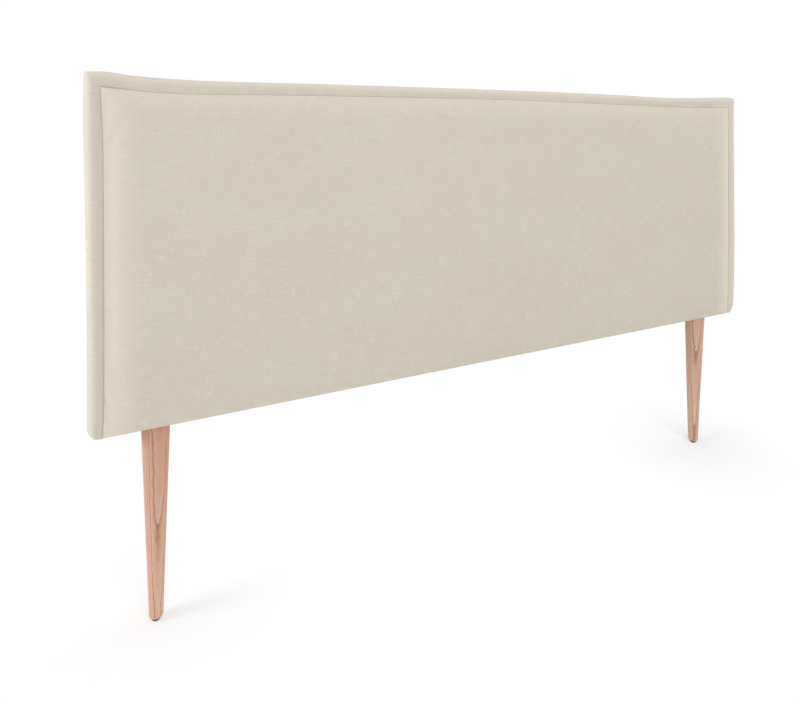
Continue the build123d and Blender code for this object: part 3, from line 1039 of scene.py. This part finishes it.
def floor_material(sizes):
    """A pale floor: white to the eye and in reflections, with the object's soft shadow kept."""
    material = bpy.data.materials.new("Pale studio floor")
    material.use_nodes = True
    tree = material.node_tree
    tree.nodes.clear()
    paint = tree_node(tree, "ShaderNodeBsdfDiffuse", {"Color": (0.96, 0.96, 0.96, 1), "Roughness": 1.0})
    glow = tree_node(tree, "ShaderNodeEmission", {"Color": (1, 1, 1, 1), "Strength": 1.0})
    half = vectors(tree, "ABSOLUTE", whereabouts(tree)).outputs[0]
    from_foot = vectors(tree, "DISTANCE", half, (foot_x, 0, 0)).outputs["Value"]
    whiteness = spread(tree, from_foot, 0.0, sizes.shadow_reach, sizes.floor_whiteness, 1.0)
    share = times(tree, seen_directly(tree), whiteness)
    mixed = tree_node(tree, "ShaderNodeMixShader", {0: share, 1: paint.outputs[0], 2: glow.outputs[0]})
    tree_node(tree, "ShaderNodeOutputMaterial", {"Surface": mixed.outputs[0]})
    return material


# Stage


def area_lamp(name, place, target, size, power):
    """A soft white lamp at a place, turned to a target; sizes in metres, power in watts."""
    lamp = bpy.data.lights.new(name, "AREA")
    lamp.shape = "RECTANGLE"
    lamp.size, lamp.size_y = size
    lamp.energy = power
    made = bpy.data.objects.new(name, lamp)
    bpy.context.scene.collection.objects.link(made)
    made.location = place
    made.rotation_euler = (Vector(target) - Vector(place)).to_track_quat("-Z", "Y").to_euler()


def make_world(strength):
    """A soft, even dome of light that looks white behind the object."""
    world = bpy.data.worlds.new("Studio dome")
    bpy.context.scene.world = world
    world.use_nodes = True
    tree = world.node_tree
    tree.nodes.clear()
    level = spread(tree, seen_directly(tree), 0.0, 1.0, strength, 1.0)
    back = tree_node(tree, "ShaderNodeBackground", {"Color": (1, 1, 1, 1), "Strength": level})
    tree_node(tree, "ShaderNodeOutputWorld", {"Surface": back.outputs[0]})


def make_camera(sizes):
    """The photograph's viewpoint: a view camera whose lens is shifted to keep uprights upright.

    The film's width changes only how far off the other views stand."""
    data = bpy.data.cameras.new("Photo viewpoint")
    data.sensor_fit = "VERTICAL"
    data.sensor_width, data.sensor_height = sizes.film_width, sizes.film_height
    data.lens = sizes.focal_pixels / sizes.image_height * sizes.film_height
    data.shift_x = (sizes.image_width / 2 - sizes.centre_x) / sizes.image_height
    data.shift_y = (sizes.centre_y - sizes.image_height / 2) / sizes.image_height
    data.clip_end = 60
    camera = bpy.data.objects.new("Photo viewpoint", data)
    bpy.context.scene.collection.objects.link(camera)
    camera.location = sizes.camera_place
    turn = Matrix.Rotation(sizes.camera_yaw, 4, "Z") @ Matrix.Rotation(pi / 2 - sizes.camera_pitch, 4, "X")
    turn = turn @ Matrix.Rotation(sizes.camera_roll, 4, "Z")
    camera.rotation_euler = turn.to_euler()
    bpy.context.scene.camera = camera


# Properties that a user would change


def number(name, description, value, **kind):
    """A plain number, or one of another kind."""
    return FloatProperty(name=name, description=description, default=value, **kind)


def length(name, description, value):
    """A length in metres."""
    return number(name, description, value, min=0.0, unit="LENGTH", precision=4)


def pixels(name, description, value):
    """A place or size in the photograph."""
    return number(name, description, value, subtype="PIXEL")


def angle(name, description, degrees):
    """An angle, given in degrees and kept in radians."""
    return number(name, description, radians(degrees), subtype="ANGLE")


def colour_text(name, description, value):
    """A colour as an sRGB hex value."""
    return StringProperty(name=name, description=description, default=value, maxlen=7)


class HeadboardCover(bpy.types.PropertyGroup):
    """Sizes and colours of the sewn cover."""

    outer_roll: length("Outer Roll", "Radius of the border's outer roll", 14 * MM)
    groove_depth: length("Groove Depth", "Depth of the seam below the border's crest", 4.4 * MM)
    seam_setback: length("Seam Setback", "Depth of the seam behind the panel's front", 4.2 * MM)
    lip_reach: length("Lip Reach", "How far the cushion's steep edge reaches in from the seam", 8 * MM)
    lip_rise: length("Lip Rise", "How far that edge rises", 2 * MM)
    shoulder_reach: length("Shoulder Reach", "How far the cushion's rounded shoulder reaches in", 60 * MM)
    shoulder_rise: length("Shoulder Rise", "How far the shoulder rises", 3.8 * MM)
    # Strength of the painted highlight along the cushion's edge.
    edge_painted_highlight: number("Edge Painted Highlight", "How much paler the cloth is along the cushion's edge", 0.75)
    # Strength of the painted highlight on the border's outer edge and right side.
    border_painted_highlight: number("Border Painted Highlight", "How much paler the cloth is on the border's outer edge", 0.3)
    seam_shade: number("Seam Shade", "How much darker the left border is beside the seam", 0.12)
    crown: length("Crown", "How far the middle of the cushion rises further", 0.6 * MM)
    bottom_roll: length("Bottom Roll", "Radius of the lower edge", 12 * MM)
    lower_corner_left: length("Left Lower Corner", "Radius of the border's lower left corner", 20 * MM)
    lower_corner_right: length("Right Lower Corner", "Radius of the border's lower right corner", 36 * MM)
    frame_corner: length("Frame Corner", "Radius of the lower corners behind the front", 12 * MM)
    pucker: length("Pucker", "Depth of the gathers that the seam makes", 0.5 * MM)
    back_crease: length("Back Crease", "Depth of the creases in the back cloth", 0.8 * MM)
    pressure: number("Pressure", "Air pressure that tightens the cushion's cloth", 4.0, min=0.0)
    puff_cap: length("Puff Limit", "How far the pressure may move a point", 2.5 * MM)
    stitch_pitch: length("Stitch Pitch", "Distance from stitch to stitch", 3.5 * MM)
    staple_pitch: length("Staple Pitch", "Distance from staple to staple", 42 * MM)
    cloth_colour: colour_text("Cloth", "Main colour of the cover cloth", "#d3ccbe")
    cloth_shade: colour_text("Cloth Shade", "Colour of its slightly darker patches", "#d1c9bc")
    # Colours of the painted highlight and of the painted seam shade.
    painted_highlight_colour: colour_text("Painted Highlight", "Colour of the painted highlight along the edges", "#ece0d2")
    painted_shade_colour: colour_text("Painted Seam Shade", "Colour of the painted shade beside a seam", "#b3a897")
    slub_pale: colour_text("Pale Slubs", "Colour of the pale thick threads", "#e3ddd0")
    slub_dark: colour_text("Dark Slubs", "Colour of the dark thick threads", "#b5ac9b")
    thread_pale: colour_text("Thread", "Colour of the sewing thread", "#d8d0c1")
    thread_dark: colour_text("Thread Shade", "Darker colour in the thread's twist", "#c4bbab")


class HeadboardLegs(bpy.types.PropertyGroup):
    """Sizes and colours of the legs."""

    leg_foot_radius: length("Foot Radius", "Radius of a leg at its foot", 11.8 * MM)
    leg_foot_bevel: length("Foot Bevel", "Width of the eased bevel round the lower end", 4.2 * MM)
    wood_colour: colour_text("Wood", "Main colour of the legs", "#d9b096")
    wood_pale: colour_text("Pale Wood", "Colour of the early wood", "#e3c0aa")
    ring_spacing: length("Ring Spacing", "Distance between growth rings", 2.9 * MM)
    ring_wander: length("Ring Wander", "How far the growth rings wander", 7 * MM)
    # Painted shade at the top of each leg, under the panel; the right one's is paler, as painted light.
    left_leg_painted_shade: colour_text("Left Leg Painted Shade", "How the left leg darkens towards the top", "#e8d7cc")
    right_leg_painted_shade: colour_text("Right Leg Painted Shade", "How the right leg darkens towards the top", "#f8eee6")
    wood_dark: colour_text("Dark Wood", "Colour of the growth rings", "#a06c4f")


class HeadboardStudio(bpy.types.PropertyGroup):
    """The camera, lamps and floor."""

    image_width: pixels("Image Width", "Width of the photograph", 800)
    image_height: pixels("Image Height", "Height of the photograph", 704)
    film_width: number("Film Width", "Width of the film in millimetres", 75.0)
    film_height: number("Film Height", "Height of the film in millimetres", 120.0)
    focal_pixels: pixels("Focal Length", "Focal length in pixels", 552.2)
    centre_x: pixels("Centre X", "Pixel column of the lens axis", 383.6)
    centre_y: pixels("Centre Y", "Pixel row of the lens axis", 132.9)
    camera_place: FloatVectorProperty(
        name="Camera", description="Where the camera stands", default=(-0.7159, -1.0492, 0.8859),
        subtype="TRANSLATION", precision=4,
    )
    camera_yaw: angle("Yaw", "Turn about the upright, to the left where above 0", -23.698)
    camera_pitch: angle("Pitch", "Turn down", 1.0)
    camera_roll: angle("Roll", "Roll of the camera", 0.254)
    dome: number("Dome", "Strength of the even light", 0.5, min=0.0)
    floor_whiteness: number(
        "Floor Whiteness", "Share of the floor's look that is plain white beside a foot", 0.4,
        min=0.0, max=1.0, subtype="FACTOR",
    )
    shadow_reach: length("Shadow Reach", "How far from a foot its shadow shows on the floor", 0.25)


# Operators


def finished(piece, nodes):
    """Ties a piece to the frame: it rides with the row's body and stands for these nodes."""
    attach(piece, "root")
    if nodes:
        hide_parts(*nodes)
    return piece


def cover_cloth(context):
    """The cover's one material, made when it is first asked for."""
    found = bpy.data.materials.get("Linen-look cover cloth")
    return found or linen_look_material(context.scene.headboard_cover)


class HEADBOARD_OT_border(bpy.types.Operator):
    """Adds the padded border strip round the panel."""

    bl_idname = "headboard.border"
    bl_label = "Border"

    def execute(self, context):
        border = make_border(context.scene.headboard_cover, cover_cloth(context))
        foams = ["foam_border_left", "foam_border_top", "foam_border_right"]
        finished(border, ["cover_border", *foams])
        return {"FINISHED"}


class HEADBOARD_OT_cushion(bpy.types.Operator):
    """Adds the centre cushion with its wrapped lower edge."""

    bl_idname = "headboard.cushion"
    bl_label = "Cushion"

    def execute(self, context):
        cushion = make_cushion(context.scene.headboard_cover, cover_cloth(context))
        finished(cushion, ["cover_centre", "foam_cushion"])
        return {"FINISHED"}


class HEADBOARD_OT_stitches(bpy.types.Operator):
    """Adds the line of stitches in the seam."""

    bl_idname = "headboard.stitches"
    bl_label = "Seam Stitches"

    def execute(self, context):
        sizes = context.scene.headboard_cover
        thread = thread_material(sizes)
        line = line_object("seam_line", seam_points(front + sizes.seam_setback - 0.9 * MM))
        stitches = grow(line, stitch_tree(thread), {"Pitch": sizes.stitch_pitch}, "seam_stitches")
        finished(stitches, [])
        return {"FINISHED"}


class HEADBOARD_OT_back(bpy.types.Operator):
    """Adds the dust cloth on the back and its staples."""

    bl_idname = "headboard.back"
    bl_label = "Back"

    def execute(self, context):
        sizes = context.scene.headboard_cover
        cloth = make_back_cloth(sizes, back_cloth_material())
        finished(cloth, ["dust_cover"])
        inset, standoff = 8 * MM, 0.45 * MM
        depth = dust_high.y + standoff
        low_x, high_x = dust_low.x + inset, dust_high.x - inset
        low_z, high_z = dust_low.z + inset, dust_high.z - inset
        rim = [
            (low_x, depth, low_z), (high_x, depth, low_z), (high_x, depth, high_z),
            (low_x, depth, high_z), (low_x, depth, low_z + 6 * MM),
        ]
        line = line_object("staple_line", rim)
        staples = grow(line, staple_tree(zinc_material()), {"Pitch": sizes.staple_pitch}, "back_staples")
        finished(staples, [])
        return {"FINISHED"}


class HEADBOARD_OT_legs(bpy.types.Operator):
    """Adds the turned legs."""

    bl_idname = "headboard.legs"
    bl_label = "Legs"

    def execute(self, context):
        sizes = context.scene.headboard_legs
        # For each leg: where the middle of its tree stood beside it, how far that leant, and the painted
        # shade at its top
        logs = {
            "left": ((-6 * MM, 55 * MM), (radians(-1.2), radians(0.3)), sizes.left_leg_painted_shade),
            "right": ((38 * MM, 46 * MM), (radians(-0.7), radians(1.0)), sizes.right_leg_painted_shade),
        }
        for name, (beside, lean, top) in logs.items():
            low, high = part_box(f"leg_{name}")
            heart = ((low.x + high.x) / 2 + beside[0], (low.y + high.y) / 2 + beside[1])
            wood = leg_wood_material(sizes, f"Lacquered beech {name}", heart, lean, top)
            leg = make_leg(f"turned_leg_{name}", f"leg_{name}", sizes, wood)
            finished(leg, [f"leg_{name}"])
        return {"FINISHED"}


class HEADBOARD_OT_frame(bpy.types.Operator):
    """Finishes the pieces that stay as the frame has them."""

    bl_idname = "headboard.frame"
    bl_label = "Frame Finishes"

    def execute(self, context):
        finishes = {
            "pine": pine_material(), "hardboard": hardboard_material(),
            "zinc_steel": zinc_material(), "glide_plastic": glide_material(),
        }
        for part in frame["record"]["subparts"]:
            finish = finishes.get(part["material_slot"])
            if finish:
                node_object = bpy.data.objects[part["node"]]
                for place in node_object.material_slots:
                    place.material = finish
                if not node_object.material_slots:
                    raise RuntimeError(f"{part['node']} has no material slot")
        return {"FINISHED"}


class HEADBOARD_OT_studio(bpy.types.Operator):
    """Adds the floor, lamps, sky and camera."""

    bl_idname = "headboard.studio"
    bl_label = "Studio"

    def execute(self, context):
        sizes = context.scene.headboard_studio
        mesh = bpy.data.meshes.new("studio_floor")
        reach = 20.0
        corners = [(-reach, -reach, 0), (reach, -reach, 0), (reach, reach, 0), (-reach, reach, 0)]
        mesh.from_pydata(corners, [], [(0, 1, 2, 3)])
        floor = new_object("studio_floor", mesh)
        mesh.materials.append(floor_material(sizes))
        area_lamp("front lamp", (-0.3, -2.6, 2.1), (0, 0, 0.45), (2.6, 1.6), 32.1)
        area_lamp("top lamp", (0, 0.15, 2.8), (0, 0, 0.9), (3.0, 0.6), 13)
        area_lamp("left lamp", (-3.0, 0.1, 1.3), (-0.8, 0, 0.6), (0.7, 0.7), 33)
        area_lamp("right lamp", (3.0, -0.5, 1.3), (0.6, 0, 0.6), (1.4, 1.4), 15)
        make_world(sizes.dome)
        make_camera(sizes)
        context.scene.view_settings.view_transform = "Standard"
        return {"FINISHED"}


class HEADBOARD_PT_panel(bpy.types.Panel):
    """Lists the headboard's pieces in the order in which they are made."""

    bl_idname = "HEADBOARD_PT_panel"
    bl_label = "Headboard"
    bl_space_type = "VIEW_3D"
    bl_region_type = "UI"
    bl_category = "Headboard"

    def draw(self, context):
        for step in BUILD_ORDER:
            self.layout.operator(step.bl_idname)
        for group in ("headboard_cover", "headboard_legs", "headboard_studio"):
            box = self.layout.box()
            holder = getattr(context.scene, group)
            for name in holder.__annotations__:
                box.prop(holder, name)


BUILD_ORDER = (
    HEADBOARD_OT_border,
    HEADBOARD_OT_cushion,
    HEADBOARD_OT_stitches,
    HEADBOARD_OT_frame,
    HEADBOARD_OT_back,
    HEADBOARD_OT_legs,
    HEADBOARD_OT_studio,
)
GROUPS = (HeadboardCover, HeadboardLegs, HeadboardStudio)


def register():
    """Registers the classes and gives each scene its settings."""
    for made in (*GROUPS, *BUILD_ORDER, HEADBOARD_PT_panel):
        bpy.utils.register_class(made)
    bpy.types.Scene.headboard_cover = PointerProperty(type=HeadboardCover)
    bpy.types.Scene.headboard_legs = PointerProperty(type=HeadboardLegs)
    bpy.types.Scene.headboard_studio = PointerProperty(type=HeadboardStudio)


def unregister():
    """Undoes register."""
    del bpy.types.Scene.headboard_studio
    del bpy.types.Scene.headboard_legs
    del bpy.types.Scene.headboard_cover
    for made in reversed((*GROUPS, *BUILD_ORDER, HEADBOARD_PT_panel)):
        bpy.utils.unregister_class(made)


def main():
    """Makes every piece in order."""
    register()
    for step in BUILD_ORDER:
        group, _, name = step.bl_idname.partition(".")
        getattr(getattr(bpy.ops, group), name)()


if __name__ == "__main__":
    main()
